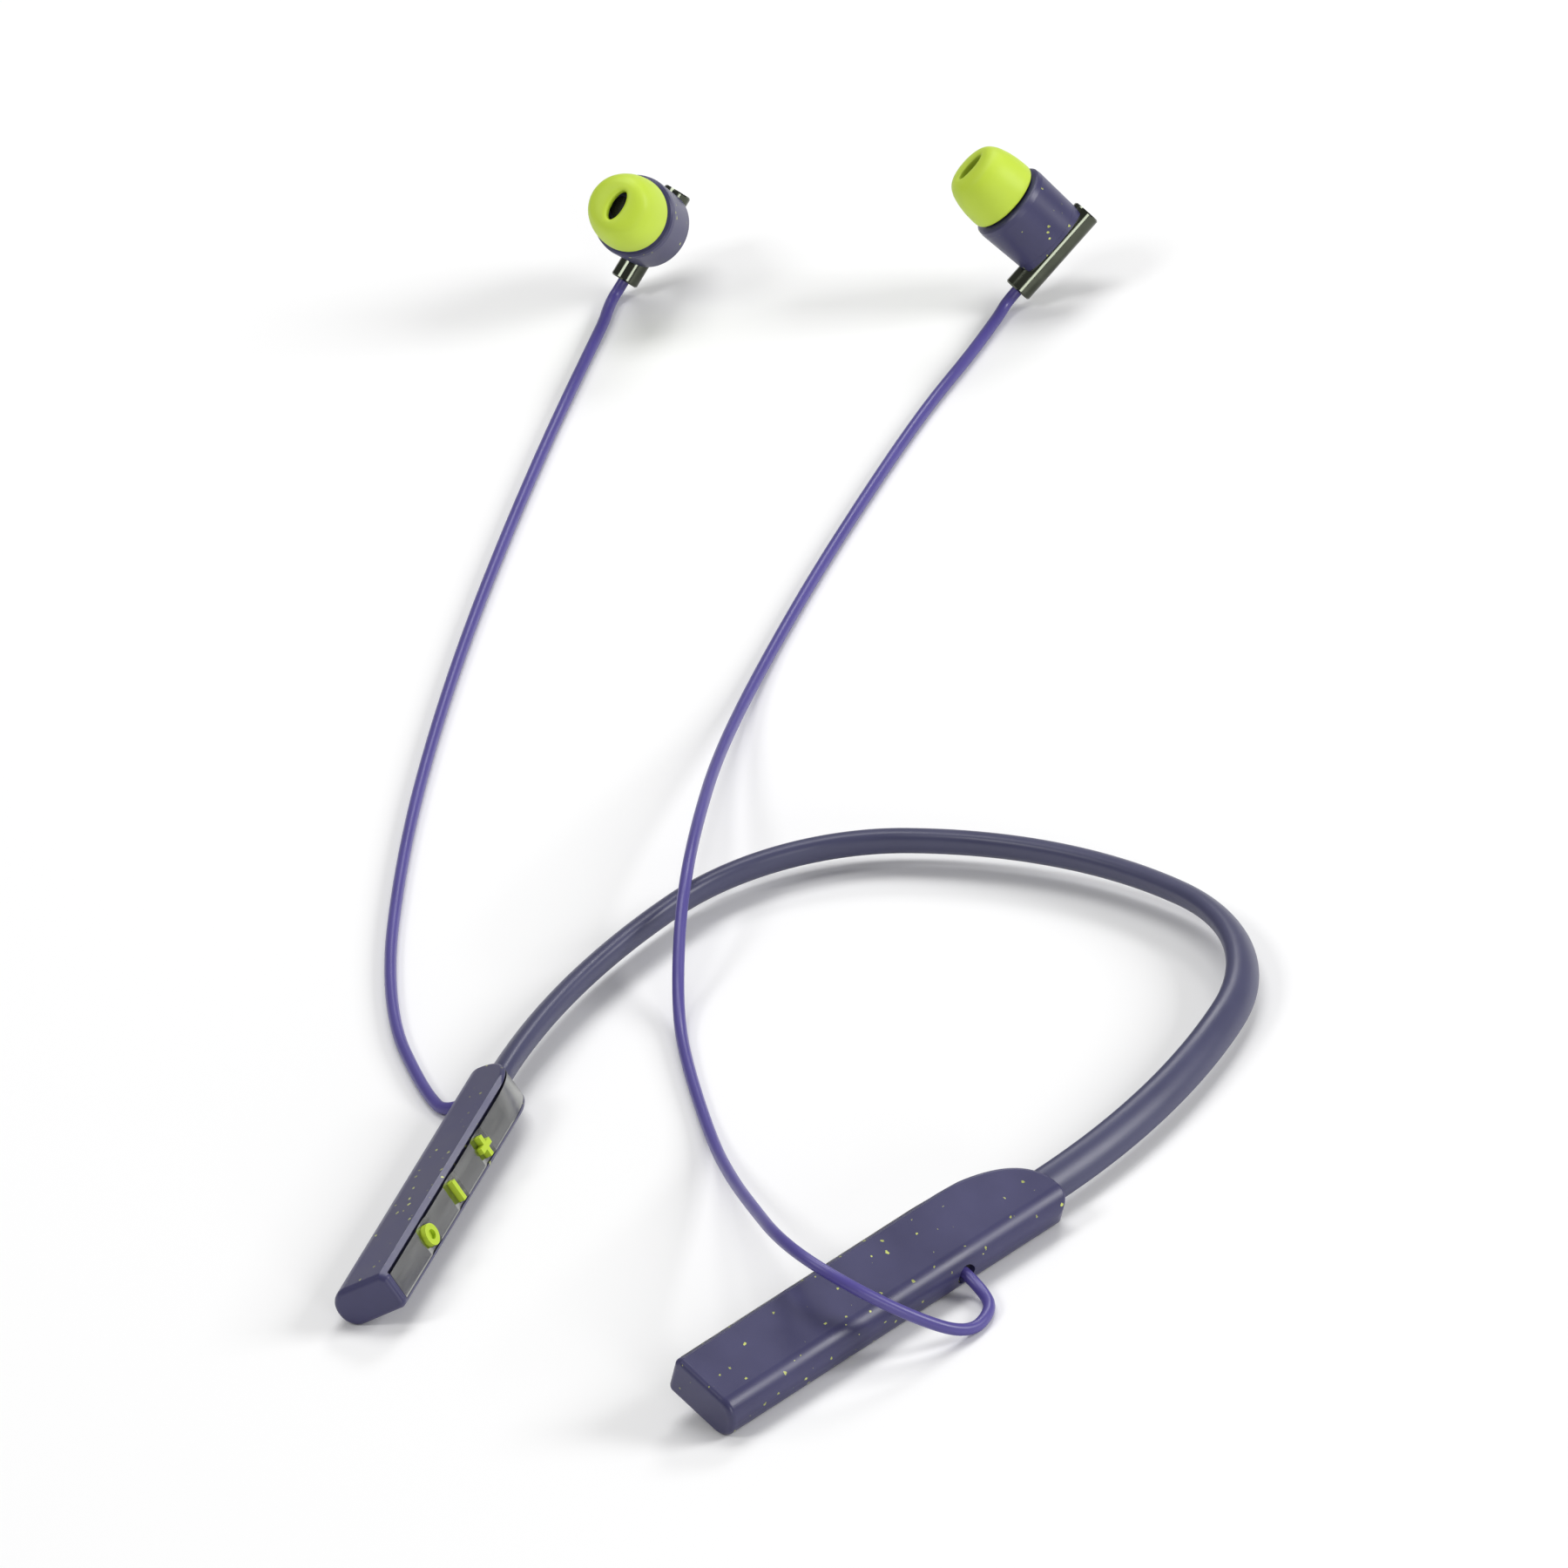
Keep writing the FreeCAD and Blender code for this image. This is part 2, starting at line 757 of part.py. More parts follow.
def status_led(module):
    x_high = module.outer_x - wall - 0.5
    return block(x_high - led_size, x_high, led_y - led_size / 2, led_y + led_size / 2,
                 main_board_top(), main_board_top() + 0.8 * led_size)


def light_pipe(module, diameter):
    start = Vec(module.outer_x - wall - 0.4, led_y, light_pipe_z())
    return rod(diameter, wall + 0.4, start, X_AXIS)


def battery_cell(module):
    x_low = -battery_width / 2 + 0.2
    z_low = max(wall, cover_thickness + seam) + battery_floor_gap - module.top_z
    y_low = battery_tip_gap
    cell = block(x_low, x_low + battery_width, y_low, y_low + battery_length, z_low, z_low + battery_height)
    long_edges = [edge for edge in cell.Edges if abs(edge.BoundBox.YLength - battery_length) < 0.01]
    return cell.makeFillet(battery_edge_radius, long_edges)


def protection_board(module):
    y_low = battery_tip_gap + battery_length + 0.3
    z_low = -0.9
    return block(-battery_width / 2 + 0.8, battery_width / 2 - 2.8, y_low, y_low + protection_board_length,
                 z_low, z_low + main_board_thickness)


# ---------------------------------------------------------------- earbud, in its own frame
def cord_end_y():
    return -bar_below_housing - housing_back_diameter / 2


def housing_radius(z):
    """Outer radius of the tapered housing at a height along the nozzle axis."""
    share = (z - housing_back_z) / (housing_front_z - housing_back_z)
    return (housing_back_diameter + share * (housing_front_diameter - housing_back_diameter)) / 2


def bar_saddle():
    length = bar_length + 4
    return rod(bar_diameter + 2 * seam, length, Vec(0, cord_end_y() - 2, 0), Y_AXIS)


def seat_z():
    return housing_back_z + rear_cover_thickness


def shoulder_z():
    return housing_front_z + 0.55 * housing_crown_radius


def housing_outline_radius():
    return housing_front_diameter / 2


def bud_housing():
    """Tapered cup with a rounded crown and the nozzle in front."""
    crown = housing_crown_radius
    radius = housing_outline_radius()
    nozzle_radius = nozzle_diameter / 2
    lip_radius = nozzle_lip_diameter / 2
    nozzle_end = shoulder_z() + nozzle_length
    lip_start = nozzle_end - nozzle_lip_length
    outside = turned([
        (0, seat_z()),
        (housing_radius(seat_z()), seat_z()),
        (radius, housing_front_z - 0.8),
        (radius - 0.1, housing_front_z + 0.1),
        (radius - 0.35 * crown, housing_front_z + 0.3 * crown),
        (radius - crown, shoulder_z()),
        (nozzle_radius, shoulder_z() + 0.3),
        (nozzle_radius, lip_start),
        (lip_radius, lip_start + 0.2),
        (nozzle_radius + 0.1, nozzle_end),
        (0, nozzle_end),
    ])
    inner = driver_diameter / 2 + magnet_fit
    driver_top = shoulder_z() - housing_wall - driver_front_gap
    inside = turned([
        (0, seat_z() - 1),
        (inner, seat_z() - 1),
        (inner, driver_top),
        (inner - 0.8, driver_top),
        (inner - 0.8, shoulder_z() - housing_wall),
        (nozzle_bore / 2, shoulder_z() - housing_wall),
        (nozzle_bore / 2, nozzle_end - mesh_thickness - 0.3),
        (nozzle_radius - 0.4, nozzle_end - mesh_thickness - 0.3),
        (nozzle_radius - 0.4, nozzle_end + 1),
        (0, nozzle_end + 1),
    ])
    return main_solid(outside.cut(inside).cut(bar_saddle()))


def bud_rear_cover():
    disc = turned([
        (0, housing_back_z),
        (housing_back_diameter / 2 - 0.4, housing_back_z),
        (housing_radius(housing_back_z + 0.4), housing_back_z + 0.4),
        (housing_radius(seat_z() - 0.02), seat_z() - 0.02),
        (0, seat_z() - 0.02),
    ])
    spigot_radius = driver_diameter / 2 - 0.1
    spigot = rod(2 * spigot_radius, 1.6, Vec(0, 0, seat_z() - 0.1), Z_AXIS)
    cover = disc.fuse(spigot).cut(bar_saddle()).cut(wire_passage())
    for slope in rear_slopes():
        cover = cover.cut(slope)
    return main_solid(cover)


def rear_slopes():
    """Room that the rear cover leaves free where it slopes forward on each side of the bar."""
    reach = housing_front_diameter
    slopes = []
    for turn in (-rear_slope, rear_slope):
        shape = block(-bar_diameter if turn < 0 else -reach, reach if turn < 0 else bar_diameter,
                      -reach, reach, -reach, 0)
        shape.rotate(Vec(0, 0, 0), Y_AXIS, turn)
        shape.translate(Vec(0, 0, housing_back_z))
        slopes.append(shape)
    return slopes


def wire_passage():
    return rod(wire_hole_diameter, 2 * bar_diameter, Vec(0, 0, bar_diameter / 2 - bar_wall - 0.2), Z_AXIS)


def bud_bar():
    tube = rod(bar_diameter, bar_length, Vec(0, cord_end_y(), 0), Y_AXIS)
    bore_length = bar_length - 2 * bar_wall
    bore = rod(bar_diameter - 2 * bar_wall, bore_length, Vec(0, cord_end_y(), 0), Y_AXIS)
    rims = [edge for edge in tube.Edges if edge.Curve.TypeId == "Part::GeomCircle"]
    return tube.makeChamfer(0.25, rims).cut(bore).cut(wire_passage())


def bud_magnet():
    length_end = cord_end_y() + bar_length - 2 * bar_wall
    diameter = bar_diameter - 2 * bar_wall - 2 * magnet_fit
    return rod(diameter, magnet_length, Vec(0, length_end - magnet_length, 0), Y_AXIS)


def bud_cord_bush():
    diameter = bar_diameter - 2 * bar_wall - 2 * magnet_fit
    return rod(diameter, bush_length, Vec(0, cord_end_y(), 0), Y_AXIS)


def driver():
    top = shoulder_z() - housing_wall - driver_front_gap
    basket = rod(driver_diameter, driver_thickness, Vec(0, 0, top - driver_thickness), Z_AXIS)
    hollow = rod(driver_diameter - 2, 0.6, Vec(0, 0, top - 0.6), Z_AXIS)
    return basket.cut(hollow)


def nozzle_mesh():
    nozzle_end = shoulder_z() + nozzle_length
    radius = nozzle_diameter / 2 - 0.4
    return rod(2 * radius - 0.04, mesh_thickness, Vec(0, 0, nozzle_end - mesh_thickness - 0.3), Z_AXIS)


def ear_tip():
    """Bullet-shaped silicone skirt folded over a sleeve that grips the nozzle."""
    rim_z = housing_front_z + 0.55 * housing_crown_radius + tip_rim_gap
    front_z = rim_z + tip_length
    rim = tip_rim_diameter / 2
    front = tip_front_diameter / 2
    bore = nozzle_lip_diameter / 2 + tip_bore_clearance
    sleeve = tip_sleeve_diameter / 2
    mouth = tip_mouth_diameter / 2
    return turned([
        (rim - tip_wall, rim_z),
        (rim - 0.2, rim_z),
        (rim, rim_z + 0.8),
        (rim - 0.25, rim_z + 0.35 * tip_length),
        (front + 0.3, front_z - tip_front_radius),
        (front - 0.5, front_z - 0.35 * tip_front_radius),
        (front - tip_front_radius, front_z),
        (mouth, front_z - 0.2),
        (bore, front_z - tip_mouth_depth),
        (bore, rim_z + 1.0),
        (sleeve, rim_z + 1.0),
        (sleeve, front_z - 2.6),
        (front - tip_wall, front_z - 2.6),
        (rim - 0.25 - tip_wall, rim_z + 0.35 * tip_length),
    ])


# ---------------------------------------------------------------- cords
def corner_radii(points):
    """Arc radius and trimmed length at each inner point of a route."""
    corners = []
    for before, at, after in zip(points, points[1:], points[2:]):
        run_in = at - before
        run_out = after - at
        turn = run_in.getAngle(run_out)
        trim = 0.45 * min(run_in.Length, run_out.Length)
        corners.append((trim / math.tan(turn / 2), trim, turn))
    return corners


def cord_path(points):
    """Straight runs joined by tangent arcs."""
    edges = []
    start = points[0]
    for index, (radius, trim, turn) in enumerate(corner_radii(points)):
        at = points[index + 1]
        back = (points[index] - at).normalize()
        ahead = (points[index + 2] - at).normalize()
        arc_start = at + back * trim
        arc_end = at + ahead * trim
        bisector = (back + ahead).normalize()
        middle = at + bisector * (math.hypot(radius, trim) - radius)
        edges.append(line_edge(start, arc_start))
        edges.append(arc_edge(arc_start, middle, arc_end))
        start = arc_end
    edges.append(line_edge(start, points[-1]))
    return Part.Wire(edges)


def cord_route(module, middle, bud_pose, bud_run):
    """From the gland's face, out along its axis, over the middle points, into the bar."""
    leaves = gland_mouth(module)
    outward = gland_outward(module)
    cord_end, azimuth, elevation, lean = bud_pose
    before_bar = cord_end - bar_direction(azimuth, elevation) * bud_run
    route = [leaves, leaves + outward * gland_run]
    route.extend(Vec(*point) for point in middle)
    route.extend([before_bar, cord_end])
    return route


def cord_tube(name, points):
    path = cord_path(points)
    direction = points[1] - points[0]
    ring = Part.Wire([Part.Circle(points[0], direction, cord_diameter / 2).toShape()])
    tube = path.makePipeShell([ring], True, False)
    expected = math.pi * cord_diameter ** 2 / 4 * path.Length
    radii = [round(radius, 1) for radius, trim, turn in corner_radii(points)]
    print(name, "length", round(path.Length, 1), "volume share", round(tube.Volume / expected, 4))
    print(name, "radii", radii)
    print(name, "route", [tuple(round(value, 2) for value in point) for point in points])
    return tube


# ---------------------------------------------------------------- assembly
def band_parts():
    return {
        "band_sleeve": band_sleeve(),
        "spring_core_wire": band_channel(core_wire_diameter, core_wire_offset),
        "link_cable": band_channel(link_cable_diameter, link_cable_offset),
    }


def shared_module_parts(module):
    parts = {
        "bottom_cover": bottom_cover(module),
        "cord_gland": cord_gland(module),
        "band_anchor": band_anchor(module),
    }
    placed = {}
    for name, shape in parts.items():
        placed[module.side + "_" + name] = place_in_module(shape, module)
    return placed


def control_module_parts(module):
    """The left module: keys, radio and charging socket."""
    openings = [
        usb_opening(module),
        microphone_port(module),
        light_pipe(module, light_pipe_diameter + 2 * seam),
        key_bay(module),
    ]
    parts = {
        "control_module_shell": top_shell(module, openings),
        "control_panel": control_panel(module),
        "key_board": key_board(module),
        "tact_switches": tact_switches(module),
        "main_board": main_board(module),
        "radio_shield": radio_shield(module),
        "usb_c_socket": usb_socket(module),
        "microphone": microphone(module),
        "status_led": status_led(module),
        "light_pipe": light_pipe(module, light_pipe_diameter).common(casing_block(module, 0)),
    }
    for name, symbol, y in key_places():
        parts[name] = key(module, symbol, y)
    return {name: place_in_module(shape, module) for name, shape in parts.items()}


def battery_module_parts(module):
    """The right module: cell and protection board."""
    parts = {
        "battery_module_shell": top_shell(module, []),
        "battery_trim_panel": trim_panel(module),
        "battery_cell": battery_cell(module),
        "battery_protection_board": protection_board(module),
    }
    return {name: place_in_module(shape, module) for name, shape in parts.items()}


def earbud_parts(side, cord_end, azimuth, elevation, lean):
    parts = {
        "bud_housing": bud_housing(),
        "bud_rear_cover": bud_rear_cover(),
        "bud_bar": bud_bar(),
        "bud_magnet": bud_magnet(),
        "bud_cord_bush": bud_cord_bush(),
        "bud_driver": driver(),
        "nozzle_mesh": nozzle_mesh(),
        "ear_tip": ear_tip(),
    }
    placed = {}
    for name, shape in parts.items():
        placed[side + "_" + name] = place_bud(shape, cord_end, azimuth, elevation, lean)
    return placed


def all_parts():
    control = Module("left", control_length, control_width, control_thickness,
                     control_band_x, control_gland_y, control_sweep)
    battery = Module("right", battery_module_length, battery_module_width,
                     battery_module_thickness, battery_band_x, battery_gland_y, battery_sweep)
    left_pose = (left_bud_cord_end, left_bud_azimuth, left_bud_elevation, left_bud_lean)
    right_pose = (right_bud_cord_end, right_bud_azimuth, right_bud_elevation, right_bud_lean)
    left_route = cord_route(control, left_cord_middle, left_pose, left_bud_cord_run)
    right_route = cord_route(battery, right_cord_middle, right_pose, right_bud_cord_run)
    parts = band_parts()
    parts.update(shared_module_parts(control))
    parts.update(shared_module_parts(battery))
    parts.update(control_module_parts(control))
    parts.update(battery_module_parts(battery))
    parts.update(earbud_parts("left", *left_pose))
    parts.update(earbud_parts("right", *right_pose))
    parts["left_cord"] = cord_tube("left_cord", left_route)
    parts["right_cord"] = cord_tube("right_cord", right_route)
    return parts


os.makedirs("parts", exist_ok=True)
for node, shape in all_parts().items():
    shape.exportStep("parts/" + node + ".step")
    print(node, len(shape.Solids), "solid", shape.isValid(), round(shape.Volume, 2))
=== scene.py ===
import json
import math

import bmesh
import bpy
from mathutils import Matrix, Vector


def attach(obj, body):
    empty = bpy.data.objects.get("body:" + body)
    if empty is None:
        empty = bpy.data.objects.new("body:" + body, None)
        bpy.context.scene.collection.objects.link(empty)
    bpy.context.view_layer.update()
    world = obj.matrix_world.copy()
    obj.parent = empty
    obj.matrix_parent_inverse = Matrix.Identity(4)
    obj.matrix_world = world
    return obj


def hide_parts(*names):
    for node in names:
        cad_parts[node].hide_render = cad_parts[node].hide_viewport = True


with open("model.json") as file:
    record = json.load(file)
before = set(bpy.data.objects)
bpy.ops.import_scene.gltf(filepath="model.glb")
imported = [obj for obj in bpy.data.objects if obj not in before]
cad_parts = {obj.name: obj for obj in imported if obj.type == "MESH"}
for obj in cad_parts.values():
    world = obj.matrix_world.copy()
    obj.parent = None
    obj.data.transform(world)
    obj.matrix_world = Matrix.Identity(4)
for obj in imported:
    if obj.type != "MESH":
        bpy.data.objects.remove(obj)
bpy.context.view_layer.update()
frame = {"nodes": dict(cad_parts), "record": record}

# Neckband earphones lying on a pale floor. Lengths are in millimetres here and become metres
# through MM; angles are in degrees. Places are in the CAD model's own frame.

MM = 0.001
Z_AXIS = Vector((0, 0, 1))


# ---------------------------------------------------------------- camera
# A long lens about 30 degrees above the floor, rolled a little.
view_target = Vector((-61.2, 65.0, 0.0)) * MM
view_distance = 3587.0 * MM
view_elevation = 30.13
view_heading = 37.41
view_roll = -10.0
view_lens = 500.0
view_sensor = 36.0
view_reach = 20000.0 * MM


def direction(heading, elevation):
    """Unit vector that points heading degrees left of +Y and elevation degrees above level."""
    turn = math.radians(heading)
    lift = math.radians(elevation)
    level = math.cos(lift)
    return Vector((-math.sin(turn) * level, math.cos(turn) * level, math.sin(lift)))


def camera_axes():
    """Unit vectors to the right, the top and the depth of the picture."""
    forward = direction(view_heading, -view_elevation)
    level_right = forward.cross(Z_AXIS).normalized()
    level_up = level_right.cross(forward)
    roll = Matrix.Rotation(math.radians(-view_roll), 3, forward)
    return roll @ level_right, roll @ level_up, forward


def add_camera():
    right, up, forward = camera_axes()
    camera = bpy.data.objects.new("camera", bpy.data.cameras.new("camera"))
    camera.data.lens = view_lens
    camera.data.sensor_width = view_sensor
    camera.data.clip_end = view_reach
    axes = Matrix((right, up, -forward)).transposed()
    camera.matrix_world = Matrix.Translation(view_target - forward * view_distance) @ axes.to_4x4()
    bpy.context.scene.collection.objects.link(camera)
    bpy.context.scene.camera = camera


add_camera()

# ---------------------------------------------------------------- cords
# Each route runs from a module to an earbud, on the same points as the CAD model's cord.
cord_diameter = 2.0
cord_curve_steps = 16
cord_round_steps = 8
left_cord_route = [
    (-54.67, -41.32, 3.0),
    (-58.51, -42.26, 1.07),
    (-63.4, -39.2, 1.02),
    (-70.3, -33.3, 1.02),
    (-80.8, -23.2, 1.02),
    (-93.2, -6.2, 1.02),
    (-104.9, 14.3, 1.02),
    (-117.1, 38.0, 1.02),
    (-129.7, 65.6, 1.02),
    (-141.1, 93.0, 1.02),
    (-151.6, 120.4, 1.02),
    (-160.5, 144.9, 1.02),
    (-166.5, 162.3, 1.02),
    (-170.6, 174.6, 1.02),
    (-172.9, 181.6, 1.02),
    (-174.5, 186.2, 1.02),
    (-175.9, 189.4, 1.02),
    (-177.0, 192.5, 1.02),
    (-176.87, 194.26, 1.76),
    (-176.3, 195.58, 3.0),
]
right_cord_route = [
    (51.45, -58.55, 3.4),
    (55.29, -59.49, 1.48),
    (60.0, -63.8, 1.02),
    (60.2, -71.4, 1.02),
    (54.2, -78.6, 8.0),
    (44.3, -83.3, 16.2),
    (31.9, -78.4, 17.2),
    (14.7, -61.8, 10.2),
    (2.0, -49.2, 5.0),
    (-11.0, -35.7, 1.1),
    (-28.0, -16.8, 1.02),
    (-37.5, -4.5, 1.6),
    (-43.8, 7.6, 8.2),
    (-48.8, 18.6, 12.0),
    (-57.0, 35.0, 11.4),
    (-70.2, 59.9, 6.0),
    (-82.0, 87.6, 1.3),
    (-91.0, 120.0, 1.02),
    (-98.2, 151.6, 1.02),
    (-103.3, 177.0, 1.02),
    (-105.5, 194.4, 1.02),
    (-107.3, 204.9, 1.02),
    (-108.1, 209.0, 1.02),
    (-108.22, 211.54, 1.79),
    (-107.08, 213.4, 3.2),
]


def add_cord(name, node, route):
    """A thin limp cord from a module's side to the end of an earbud's bar."""
    curve = bpy.data.curves.new(name, "CURVE")
    curve.dimensions = "3D"
    spline = curve.splines.new("NURBS")
    spline.points.add(len(route) - 1)
    for point, place in zip(spline.points, route):
        point.co = (*(Vector(place) * MM), 1.0)
        point.radius = cord_diameter / 2 * MM
    spline.order_u = 3
    spline.use_endpoint_u = True
    spline.resolution_u = cord_curve_steps
    # The tube's radius is each point's own radius times the bevel depth.
    curve.bevel_depth = 1.0
    curve.bevel_resolution = cord_round_steps
    curve.use_fill_caps = True
    cord = bpy.data.objects.new(name, curve)
    bpy.context.scene.collection.objects.link(cord)
    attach(cord, "neckband")
    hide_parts(node)
    return cord


left_cord = add_cord("left_earbud_cord", "left_cord", left_cord_route)
right_cord = add_cord("right_earbud_cord", "right_cord", right_cord_route)


# ---------------------------------------------------------------- material building blocks
noise_low = 0.3
noise_high = 0.7
cloud_scale = 90.0
mould_grain_scale = 7000.0
gloss_variation = 0.04
metal_gloss_loss = 0.05
metal_tone_variation = 0.12


class Surface:
    """A node material around one Principled shader, with short calls for the usual nodes."""

    def __init__(self, name, roughness, metallic=0.0):
        self.material = bpy.data.materials.new(name)
        self.material.use_nodes = True
        self.tree = self.material.node_tree
        self.shader = self.tree.nodes["Principled BSDF"]
        self.set("Roughness", roughness)
        self.set("Metallic", metallic)
        self.place = self.tree.nodes.new("ShaderNodeTexCoord").outputs["Object"]

    def set(self, socket, value):
        self.shader.inputs[socket].default_value = value

    def link(self, output, node, socket):
        self.tree.links.new(output, node.inputs[socket])

    def stretched(self, scale, turn=0.0):
        """Object coordinates turned about z and scaled per axis."""
        turned = self.tree.nodes.new("ShaderNodeMapping")
        turned.vector_type = "TEXTURE"
        turned.inputs["Rotation"].default_value = (0, 0, math.radians(turn))
        turned.inputs["Scale"].default_value = tuple(1 / part for part in scale)
        self.link(self.place, turned, "Vector")
        return turned.outputs["Vector"]

    def noise(self, scale, detail=2.0, place=None):
        texture = self.tree.nodes.new("ShaderNodeTexNoise")
        texture.inputs["Scale"].default_value = scale
        texture.inputs["Detail"].default_value = detail
        self.link(place or self.place, texture, "Vector")
        return texture

    def arithmetic(self, operation, first, second):
        """One calculation on two values; each is a number or another node's output."""
        node = self.tree.nodes.new("ShaderNodeMath")
        node.operation = operation
        for index, value in enumerate((first, second)):
            if isinstance(value, (int, float)):
                node.inputs[index].default_value = value
            else:
                self.tree.links.new(value, node.inputs[index])
        return node.outputs[0]

    def spread(self, value, from_low, from_high, to_low, to_high):
        """Carries one range of values over to another."""
        node = self.tree.nodes.new("ShaderNodeMapRange")
        self.link(value, node, "Value")
        for socket, number in (("From Min", from_low), ("From Max", from_high),
                               ("To Min", to_low), ("To Max", to_high)):
            node.inputs[socket].default_value = number
        return node.outputs["Result"]

    def mix(self, share, first, second):
        """Colour mix; each colour is three numbers or another node's output."""
        node = self.tree.nodes.new("ShaderNodeMix")
        node.data_type = "RGBA"
        self.tree.links.new(share, node.inputs[0])
        for index, value in ((6, first), (7, second)):
            if isinstance(value, tuple):
                node.inputs[index].default_value = (*value, 1.0)
            else:
                self.tree.links.new(value, node.inputs[index])
        return node.outputs[2]

    def colour(self, output):
        self.link(output, self.shader, "Base Color")

    def vary_roughness(self, value, low, high):
        self.link(self.spread(value, noise_low, noise_high, low, high), self.shader, "Roughness")

    def bump(self, value, depth):
        """Relief of a depth in millimetres."""
        node = self.tree.nodes.new("ShaderNodeBump")
        node.inputs["Distance"].default_value = depth * MM
        node.inputs["Strength"].default_value = 1.0
        self.link(value, node, "Height")
        self.link(node.outputs["Normal"], self.shader, "Normal")


def shaded(colour, factor):
    """A colour made lighter or darker, at most white."""
    return tuple(min(1.0, part * factor) for part in colour)


def moulded(name, colour, roughness, grain=0.03, variation=0.12):
    """Moulded plastic or rubber: slight colour variation and a fine grain."""
    surface = Surface(name, roughness)
    clouds = surface.noise(cloud_scale, detail=3.0).outputs["Fac"]
    share = surface.spread(clouds, noise_low, noise_high, 0.0, 1.0)
    surface.colour(surface.mix(share, shaded(colour, 1 - variation), shaded(colour, 1 + variation)))
    surface.vary_roughness(clouds, roughness - gloss_variation, roughness + gloss_variation)
    surface.bump(surface.noise(mould_grain_scale).outputs["Fac"], grain)
    return surface


def machined(name, colour, roughness, grain_scale, turn=0.0, depth=0.01):
    """Metal with fine lines along the axis of the smallest grain scale, or an even grain."""
    surface = Surface(name, roughness, metallic=1.0)
    lines = surface.noise(1.0, place=surface.stretched(grain_scale, turn)).outputs["Fac"]
    share = surface.spread(lines, noise_low, noise_high, 0.0, 1.0)
    darker = shaded(colour, 1 - metal_tone_variation)
    lighter = shaded(colour, 1 + metal_tone_variation)
    surface.colour(surface.mix(share, darker, lighter))
    surface.vary_roughness(lines, roughness - gloss_variation, roughness + metal_gloss_loss)
    surface.bump(lines, depth)
    return surface


# ---------------------------------------------------------------- finishes
body_colour = (0.041, 0.039, 0.108)
fleck_colour = (0.60, 0.66, 0.16)
band_colour = (0.056, 0.057, 0.118)
cord_colour = (0.08, 0.064, 0.27)
lime = (0.52, 0.68, 0.045)
key_lime = (0.46, 0.62, 0.03)
gunmetal = (0.36, 0.365, 0.35)
bar_metal = (0.09, 0.098, 0.075)
mesh_wire = (0.07, 0.07, 0.075)
# The mesh's openings are real, but this near-black colour in them is painted shade.
painted_hole_shade = (0.004, 0.004, 0.005)

fleck_cell_scale = 560.0
fleck_share = 0.62
fleck_smallest = 0.04
fleck_largest = 0.2
fleck_edge = 0.02
fleck_dimmest = 0.5
fleck_wobble = 0.6
fleck_wobble_scale = 2600.0

mesh_cell_scale = 4200.0
mesh_hole_edge = 0.24
mesh_wire_edge = 0.34
mesh_relief = 0.06
board_pattern_scale = 260.0
board_relief = 0.02


def speckled_plastic():
    """Satin violet plastic with sparse yellow-green flecks of uneven size in its body."""
    surface = moulded("speckled_plastic", body_colour, roughness=0.37, grain=0.01)
    base = surface.shader.inputs["Base Color"].links[0].from_socket
    wobble = surface.noise(fleck_wobble_scale, detail=1.0)
    shift = surface.tree.nodes.new("ShaderNodeVectorMath")
    shift.operation = "MULTIPLY_ADD"
    surface.link(wobble.outputs["Color"], shift, 0)
    shift.inputs[1].default_value = (fleck_wobble * MM,) * 3
    surface.link(surface.place, shift, 2)
    cells = surface.tree.nodes.new("ShaderNodeTexVoronoi")
    cells.inputs["Scale"].default_value = fleck_cell_scale
    surface.link(shift.outputs[0], cells, "Vector")
    parts = surface.tree.nodes.new("ShaderNodeSeparateColor")
    surface.link(cells.outputs["Color"], parts, "Color")
    present = surface.arithmetic("LESS_THAN", parts.outputs[0], fleck_share)
    radius = surface.spread(parts.outputs[1], 0.0, 1.0, fleck_smallest, fleck_largest)
    radius = surface.arithmetic("MULTIPLY", radius, present)
    inside = surface.arithmetic("SUBTRACT", radius, cells.outputs["Distance"])
    mask = surface.spread(inside, 0.0, fleck_edge, 0.0, 1.0)
    tone = surface.mix(parts.outputs[2], shaded(fleck_colour, fleck_dimmest), fleck_colour)
    surface.colour(surface.mix(mask, base, tone))
    return surface.material


def lime_silicone():
    """Soft matt silicone that lets a little light in."""
    surface = moulded("lime_silicone", lime, roughness=0.5, grain=0.01, variation=0.03)
    surface.set("Subsurface Weight", 0.1)
    surface.set("Subsurface Radius", (1.0, 0.8, 0.25))
    surface.set("Subsurface Scale", 1.2 * MM)
    return surface.material


def perforated_steel():
    """Fine woven mesh over the nozzle's mouth, with its openings painted near-black as painted shade."""
    surface = Surface("nozzle_mesh_steel", roughness=0.4, metallic=1.0)
    cells = surface.tree.nodes.new("ShaderNodeTexVoronoi")
    cells.inputs["Scale"].default_value = mesh_cell_scale
    cells.inputs["Randomness"].default_value = 0.0
    surface.link(surface.place, cells, "Vector")
    wire = surface.spread(cells.outputs["Distance"], mesh_hole_edge, mesh_wire_edge, 0.0, 1.0)
    # The openings get the near-black colour: painted shade in the holes between the wires.
    surface.colour(surface.mix(wire, painted_hole_shade, mesh_wire))
    surface.bump(wire, mesh_relief)
    return surface.material


